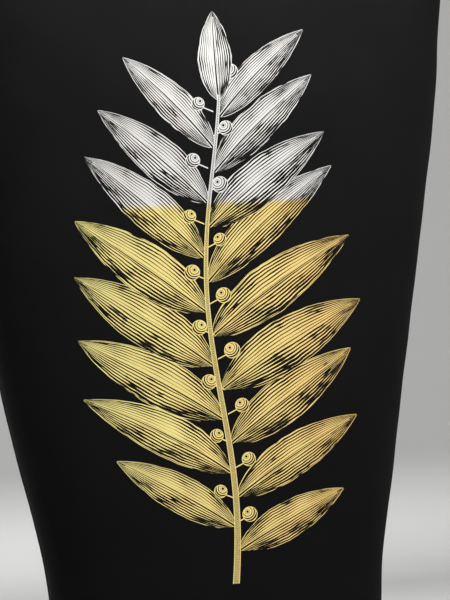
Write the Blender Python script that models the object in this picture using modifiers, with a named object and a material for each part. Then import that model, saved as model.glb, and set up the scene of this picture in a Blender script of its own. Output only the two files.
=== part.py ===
"""A fitted short-sleeved T-shirt, held up in the form that it has when it is worn, and empty.

Metres, +Z up. The front faces -Y, and the wearer's left arm is at +X. The origin is midway between
the two high shoulder points, where the neck seam crosses the shoulder seams.

The body and both sleeves start as one smooth form: a coarse cage of one half, mirrored, subdivided
and given its thickness. The form is then parted along its seams into the pieces that are sewn.
"""

import math

import bmesh
import bpy
from mathutils import Vector

NAME = "t_shirt"

# Cloth, the gap that neighbouring pieces keep, and how near two points are joined at the mirror.
CLOTH = 0.003
GAP = 0.0003
JOIN = 0.0001

# Body: distances below the high shoulder point, and half widths.
ARMPIT_DROP = 0.180
NECK_HALF = 0.091
SHOULDER_HALF = 0.182
SHOULDER_SLOPE = math.radians(20)
FRONT_NECK_DROP = 0.100
BACK_NECK_DROP = -0.002
NECK_CURVE = 0.62

# Level sections of the body from the hem to the armpits:
# drop below the shoulder, half width, depth of the front, depth of the back.
SECTIONS = (
    (0.720, 0.1240, 0.090, 0.095),
    (0.655, 0.1140, 0.084, 0.088),
    (0.600, 0.1180, 0.083, 0.083),
    (0.540, 0.1285, 0.086, 0.079),
    (0.475, 0.1410, 0.091, 0.078),
    (0.405, 0.1530, 0.099, 0.081),
    (0.335, 0.1650, 0.109, 0.088),
    (0.270, 0.1740, 0.118, 0.096),
    (0.220, 0.1815, 0.117, 0.102),
    (ARMPIT_DROP, 0.1890, 0.110, 0.105),
)
SECTION_POWER = 2.3
COLUMNS = 8
NECK_COLUMN = 4

# Above the armpits the depth falls to nothing at the shoulder seam as (1 - h ** rise) ** fall,
# where h is the height from the armpit, as a part of the height of the seam.
ARMHOLE_ROWS = 6
FRONT_RISE = 1.05
BACK_RISE = 2.30
SHOULDER_FALL = 0.55
ARMHOLE_OPEN = 0.62
ARMHOLE_POWER = 4
ARMHOLE_SCOOP = 0.022

# Sleeves: the axis runs from the middle of the armhole, down and out.
SLEEVE_ANGLE = math.radians(42)
SLEEVE_LENGTH = 0.145
SLEEVE_RINGS = 4
CUFF_HALF_HEIGHT = 0.056
CUFF_HALF_DEPTH = 0.052
SLEEVE_CAP = 0.024

# Collar band and the tape behind its seam.
RIB_WIDTH = 0.018
RIB_LEAN = math.radians(24)
RIB_GAP = 0.0009
NECK_CENTRE = -0.012
TAPE_WIDTH = 0.011
TAPE_CLOTH = 0.0012
TAPE_CLEARANCE = 0.0018
TAPE_END = 0.020

FRONT, BACK, SLEEVE = range(3)


def new_collection(name):
    collection = bpy.data.collections.new(name)
    bpy.context.scene.collection.children.link(collection)
    return collection


def cloth_material(name, colour, roughness):
    material = bpy.data.materials.new(name)
    material.use_nodes = True
    shader = material.node_tree.nodes["Principled BSDF"]
    shader.inputs["Base Color"].default_value = (*colour, 1.0)
    shader.inputs["Roughness"].default_value = roughness
    shader.inputs["Metallic"].default_value = 0.0
    return material


def add_object(name, mesh, collection, material):
    piece = bpy.data.objects.new(name, mesh)
    collection.objects.link(piece)
    mesh.materials.clear()
    mesh.materials.append(material)
    mesh.shade_smooth()
    return piece


def rounded_depth(across):
    """Depth of a section of unit size at a distance across it, which falls to 0 at 1."""
    return (1 - min(across, 1.0) ** SECTION_POWER) ** (1 / SECTION_POWER)


def armhole_open(height):
    """Half opening of the armhole, as a part of the depth of the body: it widens fast from the armpit."""
    return ARMHOLE_OPEN * math.sqrt(1 - (1 - height) ** ARMHOLE_POWER)


def armhole_half(height):
    """Half width of the body between the armholes, which are scooped out between their ends."""
    width = SECTIONS[-1][1]
    straight = width + (SHOULDER_HALF - width) * height
    return straight - ARMHOLE_SCOOP * 4 * height * (1 - height)


def shoulder_height(across):
    """Height of the shoulder seam above the armpits, run on over the neck."""
    return ARMPIT_DROP - (across - NECK_HALF) * math.tan(SHOULDER_SLOPE)


def neck_height(across, drop):
    """Height of the neck seam above the armpits: a round curve that hangs below the shoulders."""
    return ARMPIT_DROP - drop * (1 - (across / NECK_HALF) ** 2) ** NECK_CURVE


def lower_point(section, column, side):
    """A point of a level section: a superellipse, which closes at the side seam."""
    drop, width, front, back = section
    turn = math.pi / 2 * column / COLUMNS
    across = width * math.sin(turn) ** (2 / SECTION_POWER)
    depth = front if side == FRONT else back
    out = depth * max(0.0, math.cos(turn)) ** (2 / SECTION_POWER)
    return across, -out if side == FRONT else out, -drop


def upper_point(row, column, side):
    """A point above the armpits. Rows bend from level, at the armpit, to the shoulder and neck seams."""
    part = row / ARMHOLE_ROWS
    spread = math.acos(armhole_open(part) ** (SECTION_POWER / 2))
    level = math.sin(spread * column / COLUMNS) ** (2 / SECTION_POWER)
    level /= math.sin(spread) ** (2 / SECTION_POWER)
    share = level + (column / COLUMNS - level) * part
    across = armhole_half(part) * share

    top_across = SHOULDER_HALF * column / COLUMNS
    neck_drop = FRONT_NECK_DROP if side == FRONT else BACK_NECK_DROP
    top = shoulder_height(top_across)
    if column < NECK_COLUMN:
        top = neck_height(top_across, neck_drop)
    height = part * top

    reach = min(height / shoulder_height(across), 1.0)
    rise = FRONT_RISE if side == FRONT else BACK_RISE
    depth = SECTIONS[-1][2 if side == FRONT else 3] * (1 - reach**rise) ** SHOULDER_FALL
    full_width = armhole_half(reach) / rounded_depth(armhole_open(reach))
    out = depth * rounded_depth(across / full_width)
    return across, -out if side == FRONT else out, height - ARMPIT_DROP


def cage_rows(bm, side, shared):
    """The cage's vertices on one side, by row. Side and shoulder seams take those of the other side."""
    rows = []
    for number, section in enumerate(SECTIONS):
        points = [lower_point(section, column, side) for column in range(COLUMNS + 1)]
        rows.append([bm.verts.new(point) for point in points[:-1]])
        rows[-1].append(shared[number][COLUMNS] if shared else bm.verts.new(points[-1]))
    for row in range(1, ARMHOLE_ROWS + 1):
        points = [upper_point(row, column, side) for column in range(COLUMNS + 1)]
        rows.append([bm.verts.new(point) for point in points])
    if shared:
        for column in range(NECK_COLUMN, COLUMNS + 1):
            bm.verts.remove(rows[-1][column])
            rows[-1][column] = shared[-1][column]
    return rows


def fill_rows(bm, rows, zone, closed=False):
    """Faces between each row of vertices and the next."""
    for low, high in zip(rows, rows[1:]):
        steps = len(low) if closed else len(low) - 1
        for step in range(steps):
            after = (step + 1) % len(low)
            face = bm.faces.new((low[step], low[after], high[after], high[step]))
            face.material_index = zone


def sleeve_rows(bm, armhole):
    """Rings of the sleeve. Each thread of it is a curve of degree 2 from the armhole to the cuff."""
    middle = (armhole[0].co + armhole[ARMHOLE_ROWS].co) / 2
    along = Vector((math.cos(SLEEVE_ANGLE), 0, -math.sin(SLEEVE_ANGLE)))
    up = Vector((math.sin(SLEEVE_ANGLE), 0, math.cos(SLEEVE_ANGLE)))
    forward = Vector((0, -1, 0))
    cuff_centre = middle + along * SLEEVE_LENGTH
    rows = [armhole]
    for ring in range(1, SLEEVE_RINGS + 1):
        part = ring / SLEEVE_RINGS
        row = []
        for number, start in enumerate(armhole):
            turn = math.pi * number / ARMHOLE_ROWS - math.pi / 2
            cuff = cuff_centre + up * CUFF_HALF_HEIGHT * math.sin(turn)
            cuff += forward * CUFF_HALF_DEPTH * math.cos(turn)
            pull = (start.co + cuff) / 2 + up * SLEEVE_CAP * (1 + math.sin(turn)) / 2
            point = start.co * (1 - part) ** 2 + pull * 2 * part * (1 - part) + cuff * part**2
            row.append(bm.verts.new(point))
        rows.append(row)
    return rows


def form_mesh():
    """The cage of the half at +X, with each face's zone as its material index."""
    bm = bmesh.new()
    front = cage_rows(bm, FRONT, None)
    back = cage_rows(bm, BACK, front)
    fill_rows(bm, front, FRONT)
    fill_rows(bm, back, BACK)
    armpit = len(SECTIONS) - 1
    up_the_front = [row[COLUMNS] for row in front[armpit:]]
    down_the_back = [row[COLUMNS] for row in back[armpit + 1 : -1]][::-1]
    fill_rows(bm, sleeve_rows(bm, up_the_front + down_the_back), SLEEVE, closed=True)
    bmesh.ops.recalc_face_normals(bm, faces=bm.faces)
    lowest = min(bm.faces, key=lambda face: face.calc_center_median().z)
    outward = Vector((lowest.calc_center_median().x, lowest.calc_center_median().y, 0))
    if lowest.normal.dot(outward) < 0:
        bmesh.ops.reverse_faces(bm, faces=bm.faces)
    mesh = bpy.data.meshes.new("form")
    bm.to_mesh(mesh)
    bm.free()
    return mesh


def thicken(piece, thickness, offset):
    shell = piece.modifiers.new("cloth", "SOLIDIFY")
    shell.thickness = thickness
    shell.offset = offset
    shell.use_rim = True


def evaluated_form(mesh, thickness):
    """The whole form: the half cage mirrored, subdivided once and, where asked, made thick inwards."""
    form = bpy.data.objects.new("form", mesh)
    bpy.context.scene.collection.objects.link(form)
    for _ in (FRONT, BACK, SLEEVE):
        mesh.materials.append(None)
    mirror = form.modifiers.new("other half", "MIRROR")
    mirror.merge_threshold = JOIN
    smooth = form.modifiers.new("smooth", "SUBSURF")
    smooth.levels = 1
    smooth.render_levels = 1
    if thickness:
        thicken(form, thickness, -1)
    graph = bpy.context.evaluated_depsgraph_get()
    whole = bpy.data.meshes.new_from_object(form.evaluated_get(graph))
    mesh.materials.clear()
    bpy.data.objects.remove(form)
    return whole


def cut_piece(name, shell, zone, side, collection, material):
    """One piece of the thick form: its seam edges are drawn back by half a gap and walled."""
    bm = bmesh.new()
    bm.from_mesh(shell)
    inner_start = len(bm.verts) // 2
    bm.verts.ensure_lookup_table()
    partner = {bm.verts[n]: bm.verts[n + inner_start] for n in range(inner_start)}
    others = [
        face
        for face in bm.faces
        if face.material_index != zone or (side and face.calc_center_median().x * side < 0)
    ]
    bmesh.ops.delete(bm, geom=others, context="FACES_ONLY")
    seam = [edge for edge in bm.edges if edge.is_boundary]
    pulls = {}
    for vert in {vert for edge in seam for vert in edge.verts}:
        middles = [face.calc_center_median() for face in vert.link_faces]
        middle = sum(middles, Vector()) / len(middles)
        pulls[vert] = (middle - vert.co).normalized() * GAP / 2
    for vert, pull in pulls.items():
        vert.co += pull
    for edge in seam:
        first, second = edge.verts
        if first in partner and second in partner:
            bm.faces.new((first, second, partner[second], partner[first]))
    loose = [vert for vert in bm.verts if not vert.link_faces]
    bmesh.ops.delete(bm, geom=loose, context="VERTS")
    bmesh.ops.recalc_face_normals(bm, faces=bm.faces)
    mesh = bpy.data.meshes.new(name)
    bm.to_mesh(mesh)
    bm.free()
    for face in mesh.polygons:
        face.material_index = 0
    add_object(name, mesh, collection, material)


def neck_loop(form):
    """The neck seam's points in order round the neck, each with its normal and its way down the body."""
    bm = bmesh.new()
    bm.from_mesh(form)
    bm.normal_update()
    rim = [
        vert
        for vert in bm.verts
        if vert.is_boundary and vert.co.z > -ARMPIT_DROP and abs(vert.co.x) < SHOULDER_HALF
    ]
    loop = []
    for vert in sorted(rim, key=lambda v: math.atan2(v.co.x, NECK_CENTRE - v.co.y)):
        inner = [edge.other_vert(vert).co for edge in vert.link_edges if not edge.is_boundary]
        down = (sum(inner, Vector()) / len(inner) - vert.co).normalized()
        loop.append((vert.co.copy(), vert.normal.copy(), down))
    bm.free()
    return loop


def band_mesh(name, low, high, closed):
    bm = bmesh.new()
    rows = [[bm.verts.new(point) for point in row] for row in (low, high)]
    fill_rows(bm, rows, 0, closed)
    mesh = bpy.data.meshes.new(name)
    bm.to_mesh(mesh)
    bm.free()
    return mesh


def neck_rib(loop, collection, material):
    """The collar band: from the neck seam it leans in towards the neck as it rises."""
    low = []
    high = []
    for point, _, _ in loop:
        inward = Vector((-point.x, NECK_CENTRE - point.y, 0)).normalized()
        rise = Vector((0, 0, math.cos(RIB_LEAN))) + inward * math.sin(RIB_LEAN)
        low.append(point + rise * RIB_GAP)
        high.append(point + rise * (RIB_GAP + RIB_WIDTH))
    mesh = band_mesh("neck_rib", low, high, closed=True)
    thicken(add_object("neck_rib", mesh, collection, material), CLOTH, -1)


def back_neck_tape(loop, collection, material):
    """The tape lies inside the back panel, just under the neck seam, from shoulder to shoulder."""
    depth = CLOTH + TAPE_CLEARANCE
    behind = [step for step in loop if step[0].y > TAPE_END]
    behind.sort(key=lambda step: step[0].x)
    high = [point - normal * depth + down * TAPE_CLEARANCE for point, normal, down in behind]
    low = [point + down * TAPE_WIDTH for point, (_, _, down) in zip(high, behind)]
    mesh = band_mesh("back_neck_tape", low, high, closed=False)
    thicken(add_object("back_neck_tape", mesh, collection, material), TAPE_CLOTH, 1)


def main():
    for old in list(bpy.data.objects):
        bpy.data.objects.remove(old)
    collection = new_collection(NAME)
    jersey = cloth_material("jersey", (0.012, 0.012, 0.013), 0.92)
    rib = cloth_material("rib_knit", (0.011, 0.011, 0.012), 0.90)
    tape = cloth_material("neck_tape", (0.014, 0.014, 0.015), 0.88)

    cage = form_mesh()
    shell = evaluated_form(cage, CLOTH)
    cut_piece("front_panel", shell, FRONT, 0, collection, jersey)
    cut_piece("back_panel", shell, BACK, 0, collection, jersey)
    cut_piece("left_sleeve", shell, SLEEVE, 1, collection, jersey)
    cut_piece("right_sleeve", shell, SLEEVE, -1, collection, jersey)
    loop = neck_loop(evaluated_form(cage, 0))
    neck_rib(loop, collection, rib)
    back_neck_tape(loop, collection, tape)


main()
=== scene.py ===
"""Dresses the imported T-shirt: knitted panels, sleeves, ribbed collar, neck tape, stitching and studio.

Metres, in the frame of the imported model: +Z up, the front faces -Y, the wearer's left arm is at +X.
"""

import math

import bmesh
import bpy
import numpy as np
from bpy.props import FloatProperty, FloatVectorProperty, IntProperty, PointerProperty
from mathutils import Matrix, Vector


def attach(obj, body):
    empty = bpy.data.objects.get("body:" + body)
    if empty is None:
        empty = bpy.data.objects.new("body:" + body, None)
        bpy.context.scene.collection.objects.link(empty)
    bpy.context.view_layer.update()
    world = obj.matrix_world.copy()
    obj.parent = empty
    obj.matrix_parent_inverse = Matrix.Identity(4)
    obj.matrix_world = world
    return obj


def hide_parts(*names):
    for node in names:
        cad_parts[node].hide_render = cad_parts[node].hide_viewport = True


bl_info = {
    "name": "Fitted T-shirt",
    "version": (1, 0, 0),
    "blender": (4, 5, 0),
    "location": "View3D > Sidebar > T-shirt",
    "description": "Builds a fitted knitted T-shirt, upright in its worn form, with a botanical print",
    "category": "Object",
}

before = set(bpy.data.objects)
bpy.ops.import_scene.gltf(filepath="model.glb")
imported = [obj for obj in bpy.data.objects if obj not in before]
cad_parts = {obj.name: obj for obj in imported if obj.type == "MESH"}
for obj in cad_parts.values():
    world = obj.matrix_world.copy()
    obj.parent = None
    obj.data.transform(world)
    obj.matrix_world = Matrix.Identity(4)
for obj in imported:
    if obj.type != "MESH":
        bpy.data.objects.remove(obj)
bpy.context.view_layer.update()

# The cut of the shirt, as in the part's source.
ARMPIT_DROP = 0.180
NECK_HALF = 0.091
SHOULDER_HALF = 0.182
SHOULDER_SLOPE = math.radians(20)
FRONT_NECK_DROP = 0.100
BACK_NECK_DROP = -0.002
NECK_CURVE = 0.62
# Level sections: drop below the shoulder, half width, depth of the front, depth of the back.
SECTIONS = np.array(
    (
        (0.720, 0.1240, 0.090, 0.095),
        (0.655, 0.1140, 0.084, 0.088),
        (0.600, 0.1180, 0.083, 0.083),
        (0.540, 0.1285, 0.086, 0.079),
        (0.475, 0.1410, 0.091, 0.078),
        (0.405, 0.1530, 0.099, 0.081),
        (0.335, 0.1650, 0.109, 0.088),
        (0.270, 0.1740, 0.118, 0.096),
        (0.220, 0.1815, 0.117, 0.102),
        (ARMPIT_DROP, 0.1890, 0.110, 0.105),
    )
)[::-1]
SECTION_POWER = 2.3
FRONT_RISE = 1.05
BACK_RISE = 2.30
SHOULDER_FALL = 0.55
ARMHOLE_OPEN = 0.62
ARMHOLE_POWER = 4
ARMHOLE_SCOOP = 0.022
SLEEVE_ANGLE = math.radians(42)
SLEEVE_LENGTH = 0.145
CUFF_HALF_HEIGHT = 0.056
CUFF_HALF_DEPTH = 0.052
SLEEVE_CAP = 0.024
RIB_LEAN = math.radians(24)
NECK_SMOOTHING = 0.009
CHEST_BEND = 0.009
NECK_CENTRE = -0.012
FRONT, BACK = -1, 1
HEM_DROP = 0.720

BODY_ROWS_BELOW = 190
BODY_ROWS_ABOVE = 74
BODY_COLUMNS = 36
SLEEVE_ROWS = 110
SLEEVE_COLUMNS = 168
BUNCHING = 1.5

# Where the armpit folds fan out from, and how far from the seams relief and the neck's rounding end.
ARMPIT_FOLDS_X = 0.189
ARMPIT_FOLDS_Z = -0.172
FOLDS_END = 0.022
ROUNDING_DOWN = 0.025
ROUNDING_ASIDE = 0.012
# The outer row of stitches lies this far inside the top of a hem, and each stitch has so many sides.
STITCH_INSET = 0.0015
STITCH_SIDES = 6
# How far the needle rows lie from the neck seam and from the shoulder seams.
COLLAR_NEEDLES = (0.0022, 0.0062)
SHOULDER_NEEDLES = (0.0020, 0.0072)
# The neck points lie at 0.5 across a half panel, and the needle rows stop beside them.
NECK_ENDS = 0.497
SHOULDER_STARTS = 0.505

# The contrast of each knit's painted loop shade and random tone, and the width of its wales and courses
# in millimetres.
JERSEY_KNIT = {"Contrast": 0.85, "Wale": 1.05, "Course": 0.85}
INSIDE_KNIT = {"Contrast": 0.36, "Wale": 1.9, "Course": 0.62}
RIB_KNIT = {"Contrast": 0.45, "Wale": 0.95, "Course": 0.8}
INSIDE_LIGHTER = 1.12
# Painted shade: knit darkens to this part of its colour towards the hem, from one depth on the cloth and
# over another, where the light falls off downwards.
PAINTED_SHADE_AT_HEM = 0.50
PAINTED_SHADE_FROM = 0.16
PAINTED_SHADE_OVER = 0.46

# The printed stem in millimetres above its foot: its top and its first leaf.
STEM_TOP = 329.0
FIRST_LEAF = 22.0

# The camera aims at this height, and this far to its own right.
AIM_HEIGHT = -0.41
AIM_ASIDE = 0.0186


def number(name, description, default, **kind):
    return FloatProperty(name=name, description=description, default=default, **kind)


def length(name, description, default):
    return number(name, description, default, unit="LENGTH")


def colour_property(name, description, default):
    return FloatVectorProperty(
        name=name, description=description, default=default, subtype="COLOR", size=3, min=0, max=1
    )


class ShirtSizes(bpy.types.PropertyGroup):
    """Sizes of the cloth and of what is sewn on it."""

    cloth: length("Cloth", "Thickness of the jersey", 0.0011)
    hem: length("Hem", "Height of the folded hems", 0.021)
    needle_gap: length("Needle gap", "Distance between the two rows of stitches", 0.006)
    rib_width: length("Collar width", "Height of the ribbed collar", 0.0185)
    rib_cloth: length("Collar cloth", "Thickness of the folded rib", 0.0022)
    rib_pitch: length("Rib pitch", "Distance between two ribs", 0.0019)
    tape_width: length("Tape width", "Width of the tape in the neck", 0.0105)
    stitch: length("Stitch", "Length of a stitch with its gap", 0.0029)
    thread: length("Thread", "Width of the sewing thread", 0.00050)


class ShirtColours(bpy.types.PropertyGroup):
    """Colours of the knits, the thread and the print."""

    jersey: colour_property("Jersey", "Colour of the body and sleeves", (0.0064, 0.0064, 0.0066))
    rib: colour_property("Rib", "Colour of the collar", (0.0060, 0.0060, 0.0062))
    tape: colour_property("Tape", "Colour of the tape in the neck", (0.0110, 0.0110, 0.0116))
    thread: colour_property("Thread", "Colour of the sewing thread", (0.0130, 0.0130, 0.0137))
    ink_left: colour_property("Ink left", "Print at its left edge", (0.66, 0.59, 0.22))
    ink_right: colour_property("Ink right", "Print at its right edge", (0.62, 0.43, 0.15))
    ink_top: colour_property("Ink top", "Print near the top", (0.59, 0.58, 0.56))
    floor: colour_property("Floor", "Colour of the studio floor", (0.88, 0.88, 0.87))


class PrintSizes(bpy.types.PropertyGroup):
    """The sprig that is printed on the front, in millimetres on the cloth."""

    centre: number("Centre", "Sideways place of the stem", -2.0)
    foot: number("Foot", "Height of the stem's foot", -603.0)
    pitch: number("Pitch", "Height from leaf to leaf", 36.5)
    leaf: number("Leaf", "Length of the longest leaf", 116.0)
    half_leaf: number("Half leaf", "Half its width", 17.0)
    pairs: IntProperty(name="Pairs", description="Leaves on each side", default=9)
    white_from: number("White from", "Where the ink turns", 256.6)


class StudioSizes(bpy.types.PropertyGroup):
    """Camera, lights and floor."""

    azimuth: number("Azimuth", "Turn of the camera", math.radians(-9), subtype="ANGLE")
    roll: number("Roll", "Lean of the camera", math.radians(3.36), subtype="ANGLE")
    distance: length("Distance", "Camera to shirt", 2.4)
    picture_height: length("Picture height", "Height that the picture takes in", 0.42)
    key: number("Key", "Strength of the key light", 21.0, unit="POWER")
    fill: number("Fill", "Strength of the fill light", 5.0, unit="POWER")
    back: number("Back", "Strength of the light behind", 100.0, unit="POWER")
    wall: number("Wall", "Strength of the backdrop light", 120.0, unit="POWER")
    sky: number("Sky", "Strength of the light all round", 0.24)
    floor_height: length("Floor height", "Level of the floor", -0.95)


# Numbers along curves and surfaces


def smooth_read(at, column):
    """A column of SECTIONS read between its rows, on cubics whose slopes are the differences around."""
    drops, values = SECTIONS[:, 0], SECTIONS[:, column]
    slopes = np.gradient(values, drops)
    place = np.clip(np.searchsorted(drops, at) - 1, 0, len(drops) - 2)
    span = drops[place + 1] - drops[place]
    t = (at - drops[place]) / span
    low = (1 + 2 * t) * (1 - t) ** 2 * values[place] + t * (1 - t) ** 2 * span * slopes[place]
    high = t**2 * (3 - 2 * t) * values[place + 1] + t**2 * (t - 1) * span * slopes[place + 1]
    return low + high


def smooth_step(value, low, high):
    """0 below low, 1 above high, and 3t^2 - 2t^3 between them."""
    t = np.clip((value - low) / (high - low), 0, 1)
    return t * t * (3 - 2 * t)


def bump(value, centre, width):
    """A bell of height 1: exp(-(distance / width)^2)."""
    return np.exp(-(((value - centre) / width) ** 2))


def drift(points, wavelength, seed):
    """Slow unevenness of about +-1: the mean of 7 sine waves that run in seeded directions."""
    rng = np.random.default_rng(seed)
    total = np.zeros(points.shape[:-1])
    for _ in range(7):
        way = rng.normal(size=3)
        way *= 2 * np.pi / wavelength / np.linalg.norm(way) * rng.uniform(0.6, 1.5)
        total += np.sin(points @ way + rng.uniform(0, 2 * np.pi))
    return total / 3


def unit(vectors):
    return vectors / np.maximum(np.linalg.norm(vectors, axis=-1, keepdims=True), 1e-12)


def spread(*parts):
    """Coordinates of different shapes, spread over one grid and stacked."""
    return np.stack(np.broadcast_arrays(*parts), axis=-1)


def read_along(at, known, values):
    """Rows of three values, read between the places where they are known."""
    return np.stack([np.interp(at, known, values[:, a]) for a in range(3)], 1)


def run_length(points, axis=0):
    """Distance run from the first point, along one axis of a grid of points."""
    steps = np.linalg.norm(np.diff(points, axis=axis), axis=-1)
    return np.concatenate([np.zeros_like(steps.take([0], axis)), np.cumsum(steps, axis)], axis)


def resample(points, spacing, *with_them):
    """Points at equal distances along a path, near the spacing asked for, and what goes with them."""
    run = run_length(points)
    count = max(2, round(run[-1] / spacing))
    at = (np.arange(count) + 0.5) * run[-1] / count
    return [read_along(at, run, values) for values in (points, *with_them)], at


def grid_normals(points, closed=False):
    """Unit normals of a grid: the cross product of its differences across and along."""
    if closed:
        wide = np.concatenate([points[:, -2:-1], points, points[:, 1:2]], axis=1)
        across = (wide[:, 2:] - wide[:, :-2]) / 2
    else:
        across = np.gradient(points, axis=1)
    return unit(np.cross(across, np.gradient(points, axis=0)))


# The form of the shirt


def rounded_depth(across):
    """Depth of a section of unit size: (1 - across^n)^(1/n)."""
    return (1 - np.clip(across, 0, 1) ** SECTION_POWER) ** (1 / SECTION_POWER)


def armhole_open(height):
    """Half opening of the armhole, as a part of the body's depth: a * sqrt(1 - (1 - h)^4)."""
    return ARMHOLE_OPEN * np.sqrt(1 - (1 - height) ** ARMHOLE_POWER)


def armhole_half(height):
    """Half width between the armholes: a straight line less a scoop of 4h(1 - h)."""
    width = SECTIONS[0, 1]
    return width + (SHOULDER_HALF - width) * height - ARMHOLE_SCOOP * 4 * height * (1 - height)


def shoulder_height(across):
    """Height of the shoulder seam above the armpits, a line that falls outwards."""
    return ARMPIT_DROP - (across - NECK_HALF) * math.tan(SHOULDER_SLOPE)


def depth_above(side, across, height):
    """Depth y of the body above the armpits: D (1 - reach^rise)^fall times the rounded section."""
    reach = np.clip(height / shoulder_height(across), 0, 1)
    rise, column = (FRONT_RISE, 2) if side == FRONT else (BACK_RISE, 3)
    depth = SECTIONS[0, column] * (1 - reach**rise) ** SHOULDER_FALL
    full_width = armhole_half(reach) / rounded_depth(armhole_open(reach))
    return side * depth * rounded_depth(across / full_width)


def lower_body(side, turn, down):
    """Below the armpits each level is a superellipse: (w sin^(2/n) t, +-d cos^(2/n) t, z)."""
    drop = ARMPIT_DROP + (HEM_DROP - ARMPIT_DROP) * down
    angle = np.pi / 2 * np.abs(turn)
    across = smooth_read(drop, 1) * np.sin(angle) ** (2 / SECTION_POWER)
    depth = smooth_read(drop, 2 if side == FRONT else 3)
    out = depth * np.clip(np.cos(angle), 0, 1) ** (2 / SECTION_POWER)
    return np.stack([across * np.sign(turn), side * out, -drop], axis=-1)


def upper_body(side, turn, up):
    """Above the armpits rows bend from the level section to the shoulder and neck seams.

    The share of the way up is h = 1 - (1 - q^1.35)^2. A row's points move from the section's spacing
    to even spacing as h goes to 1, and its height is h times the height of the seam above it.
    """
    part = 1 - (1 - up**1.35) ** 2
    place = np.abs(turn)
    closed_in = np.pi / 2 - math.acos(ARMHOLE_OPEN ** (SECTION_POWER / 2))
    spread = np.pi / 2 - closed_in * smooth_step(up, 0.0, 1.0)
    level = (np.sin(spread * place) / np.sin(spread)) ** (2 / SECTION_POWER)
    across = armhole_half(part) * (level + (place - level) * part)
    top_across = SHOULDER_HALF * place
    inside = np.clip(1 - (top_across / NECK_HALF) ** 2, 0, 1)
    neck_drop = FRONT_NECK_DROP if side == FRONT else BACK_NECK_DROP
    neck = ARMPIT_DROP - neck_drop * inside**NECK_CURVE
    height = part * np.where(place < 0.5, neck, shoulder_height(top_across))
    out = depth_above(side, across, height)
    return np.stack([across * np.sign(turn), out, height - ARMPIT_DROP], axis=-1)


def panel_turns():
    """Places across a panel from -1 to 1, bunched beside the neck points at half way."""
    s = np.linspace(0, 1, BODY_COLUMNS + 1)
    inner = 0.5 * (1 - (1 - s) ** BUNCHING)
    outer = 0.5 + 0.5 * s[1:] ** BUNCHING
    half = np.concatenate([inner, outer])
    return np.concatenate([-half[:0:-1], half])


def soften_chest(points):
    """Rounds the bend at the armpit level: each column is averaged along itself under a bell."""
    rows = slice(BODY_ROWS_BELOW - 24, BODY_ROWS_BELOW + 26)
    near = points[rows]
    level = near[..., 2] + ARMPIT_DROP
    share = np.gradient(level, axis=0)
    weight = np.exp(-(((level[:, None] - level[None]) / CHEST_BEND) ** 2) / 2) * share[None]
    mean = np.einsum("rsc,sca->rca", weight / weight.sum(axis=1, keepdims=True), near)
    blend = np.exp(-((level / 0.024) ** 4)) * (1 - np.abs(panel_turns()) ** 24)
    points[rows, :, :2] += (blend[..., None] * (mean - near))[..., :2]


def panel_surface(side):
    """Points of one panel from the hem to the top, as rows, with the map in metres on the cloth."""
    turn = panel_turns()[None, :]
    down = np.linspace(1, 0, BODY_ROWS_BELOW + 1)[:, None]
    up = np.linspace(0, 1, BODY_ROWS_ABOVE + 1)[1:, None]
    both = np.ones_like(turn)
    points = np.concatenate([lower_body(side, turn, down * both), upper_body(side, turn, up * both)])
    soften_chest(points)
    middle = points.shape[1] // 2
    run = run_length(points, axis=1)
    across = run - run[:, middle : middle + 1]
    along = points[..., 2].copy()
    above = run_length(points[BODY_ROWS_BELOW:], axis=0)
    along[BODY_ROWS_BELOW:] = -ARMPIT_DROP + above
    return points, np.stack([across, along], axis=-1)


def sleeve_surface(side, body):
    """Points of a sleeve in rows from the armhole to the cuff: curves of degree 2, start, pull, cuff.

    The start is the armhole's edge of the finished panels, read at even steps of its own angle.
    """
    angle = np.linspace(0, 2 * np.pi, SLEEVE_COLUMNS + 1)
    up = np.where(angle <= np.pi, angle, 2 * np.pi - angle) / np.pi
    known = np.linspace(0, 1, BODY_ROWS_ABOVE + 1)
    column = -1 if side > 0 else 0
    front, back = (read_along(up, known, panel[0][BODY_ROWS_BELOW:, column]) for panel in body)
    start = np.where((angle <= np.pi)[:, None], front, back) * np.array([side, 1, 1])
    middle = (start[0] + start[SLEEVE_COLUMNS // 2]) / 2
    along = np.array([math.cos(SLEEVE_ANGLE), 0, -math.sin(SLEEVE_ANGLE)])
    rise = np.array([math.sin(SLEEVE_ANGLE), 0, math.cos(SLEEVE_ANGLE)])
    turn = (angle - np.pi / 2)[:, None]
    cuff = middle + along * SLEEVE_LENGTH + rise * CUFF_HALF_HEIGHT * np.sin(turn)
    cuff = cuff + np.array([0, -1, 0]) * CUFF_HALF_DEPTH * np.cos(turn)
    pull = (start + cuff) / 2 + rise * SLEEVE_CAP * (1 + np.sin(turn)) / 2
    part = np.linspace(0, 1, SLEEVE_ROWS + 1)[:, None, None] ** 1.25
    points = start * (1 - part) ** 2 + pull * 2 * part * (1 - part) + cuff * part**2
    return points * np.array([side, 1, 1])


def neck_path(count=1440):
    """The neck seam round the neck: x = w sin t, z = -drop |cos t|^1.24, and y on the body."""
    turn = np.linspace(0, 2 * np.pi, count + 1)
    x = NECK_HALF * np.sin(turn)
    fall = np.abs(np.cos(turn)) ** (2 * NECK_CURVE)
    front = np.cos(turn) > 0
    z = -np.where(front, FRONT_NECK_DROP, BACK_NECK_DROP) * fall
    height = z + ARMPIT_DROP
    y = np.where(front, depth_above(FRONT, np.abs(x), height), depth_above(BACK, np.abs(x), height))
    path = np.stack([x, y, z], axis=-1)
    run = run_length(path)
    at = np.linspace(0, run[-1], count + 1)[:-1]
    path = read_along(at, run, path)
    reach = round(NECK_SMOOTHING / at[1])
    bell = np.exp(-((np.arange(-3 * reach, 3 * reach + 1) / reach) ** 2) / 2)
    wide = np.concatenate([path[-3 * reach :], path, path[: 3 * reach]])
    smooth = np.stack([np.convolve(wide[:, a], bell / bell.sum(), "valid") for a in range(3)], 1)
    return np.concatenate([smooth, smooth[:1]]), np.concatenate([path, path[:1]])


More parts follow.
